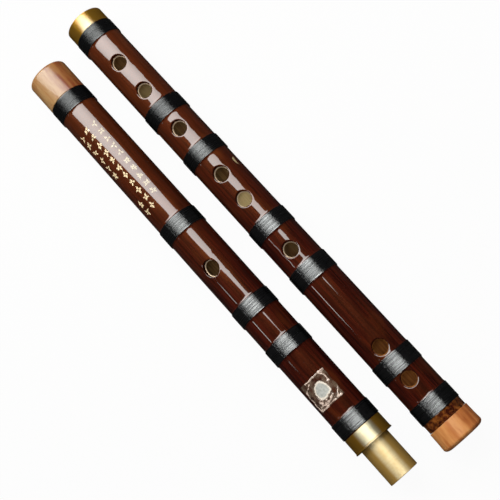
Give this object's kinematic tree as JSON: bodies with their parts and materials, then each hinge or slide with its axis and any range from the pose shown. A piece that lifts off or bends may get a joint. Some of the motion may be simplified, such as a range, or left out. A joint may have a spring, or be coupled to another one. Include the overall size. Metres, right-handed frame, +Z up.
{
  "type": "transverse bamboo flute",
  "caption": "Two-section transverse bamboo flute with thread bindings, brass tenon joint, bone end rings, stopper and buzzing membrane, shown taken apart side by side.",
  "frame": {"origin": "centre of the two sections' footprint, on the surface they lie on", "axes": "+X along both sections, from the head's end ring towards the tenon and the tail; +Y from the head section to the body section; +Z up"},
  "size_m": [0.3056, 0.0602, 0.0249],
  "materials": {
    "bamboo": "dark red-brown stained bamboo under clear gloss lacquer, lengthwise grain",
    "thread": "black silky thread wound tight, satin",
    "bone": "polished amber bone-like ring, cream to orange",
    "brass": "polished brass",
    "cork": "natural cork",
    "film": "thin wrinkled translucent reed membrane"
  },
  "bodies": {
    "head_section": {"head_end_ring": "bone", "head_bamboo_tube": "bamboo", "head_binding_1": "thread", "head_binding_2": "thread", "head_binding_3": "thread", "head_binding_4": "thread", "head_binding_5": "thread", "head_joint_ferrule": "brass", "joint_tenon": "brass", "membrane_film": "film"},
    "stopper": {"stopper_cork": "cork"},
    "body_section": {"joint_socket_ferrule": "brass", "joint_socket_liner": "brass", "body_bamboo_tube": "bamboo", "body_binding_1": "thread", "body_binding_2": "thread", "body_binding_3": "thread", "body_binding_4": "thread", "body_binding_5": "thread", "body_binding_6": "thread", "body_binding_7": "thread", "tail_end_ring": "bone"}
  },
  "joints": [
    {"name": "body_twist", "type": "hinge", "parent": "head_section", "child": "body_section", "pos_m": [-0.15275, 0.01763, 0.01245], "axis": [1, 0, 0], "continuous": true},
    {"name": "stopper_slide", "type": "slide", "parent": "head_section", "child": "stopper", "axis": [1, 0, 0], "range_m": [-0.008, 0.004]}
  ]
}
